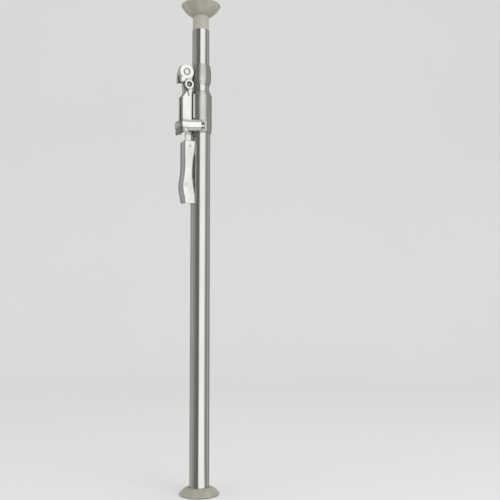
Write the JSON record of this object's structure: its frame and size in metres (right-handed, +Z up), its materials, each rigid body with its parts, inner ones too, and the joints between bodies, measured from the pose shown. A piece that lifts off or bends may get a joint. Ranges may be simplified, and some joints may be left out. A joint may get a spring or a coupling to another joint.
{
  "type": "floor-to-ceiling pole",
  "caption": "Telescopic floor-to-ceiling pole with rubber cups at both ends and an over-centre jack lever with a safety catch that raises and locks the inner tube.",
  "frame": {"origin": "centre of the foot cup's flat face, on the floor", "axes": "+Z up the pole to the ceiling cup; the lever is on the -X side and its pivots lie along Y"},
  "size_m": [0.1058, 0.0908, 1.127],
  "materials": {
    "rubber": "matt",
    "anodised_tube": "satin-polished",
    "cast_alloy": "satin cast",
    "steel": "zinc-plated",
    "brass": "turned",
    "nylon": "matt"
  },
  "bodies": {
    "base": {"lower_tube": "anodised_tube", "foot_cup": "rubber", "foot_plug": "nylon", "sleeve": "cast_alloy", "sleeve_bush": "nylon", "sleeve_screw_lower": "steel", "sleeve_screw_upper": "steel", "link_pin": "steel"},
    "lift_collar": {"collar": "cast_alloy", "collar_ring": "cast_alloy", "brake_plunger": "brass"},
    "inner_tube": {"upper_tube": "anodised_tube", "tube_glide": "nylon", "ceiling_cup": "rubber", "ceiling_plug": "nylon"},
    "lever": {"lever_fork": "cast_alloy", "pivot_pin": "steel", "pivot_clip": "steel", "link_bolt": "steel", "bolt_washer": "steel", "lever_spring": "steel", "lever_bar": "steel", "bar_pin_upper": "steel", "bar_pin_lower": "steel", "handle_grip": "cast_alloy", "handle_bumper": "rubber", "handle_screw": "steel", "latch_pin": "steel", "latch_washer_near": "steel", "latch_washer_far": "steel"},
    "strut": {"link": "steel"},
    "catch": {"latch_yoke": "cast_alloy"}
  },
  "joints": [
    {"name": "collar_lift", "type": "slide", "parent": "base", "child": "lift_collar", "axis": [0, 0, 1], "range_m": [-0.01395, 0]},
    {"name": "lever_swing", "type": "hinge", "parent": "lift_collar", "child": "lever", "pos_m": [-0.042, 0, 0.96], "axis": [0, 1, 0], "range_deg": [0, 56]},
    {"name": "link_swing", "type": "hinge", "parent": "lever", "child": "strut", "pos_m": [-0.038, 0, 0.9302], "axis": [0, 1, 0], "range_deg": [-72.5, 0]},
    {"name": "tube_extend", "type": "slide", "parent": "lift_collar", "child": "inner_tube", "axis": [0, 0, 1], "range_m": [-0.07, 0.555]},
    {"name": "latch_flip", "type": "hinge", "parent": "lever", "child": "catch", "pos_m": [-0.0466, 0, 0.8245], "axis": [0, -1, 0], "range_deg": [0, 5]}
  ],
  "couplings": [
    {"joint": "collar_lift", "follows": "lever_swing", "m_per_rad": -0.01424},
    {"joint": "link_swing", "follows": "lever_swing", "ratio": -1.2925}
  ]
}
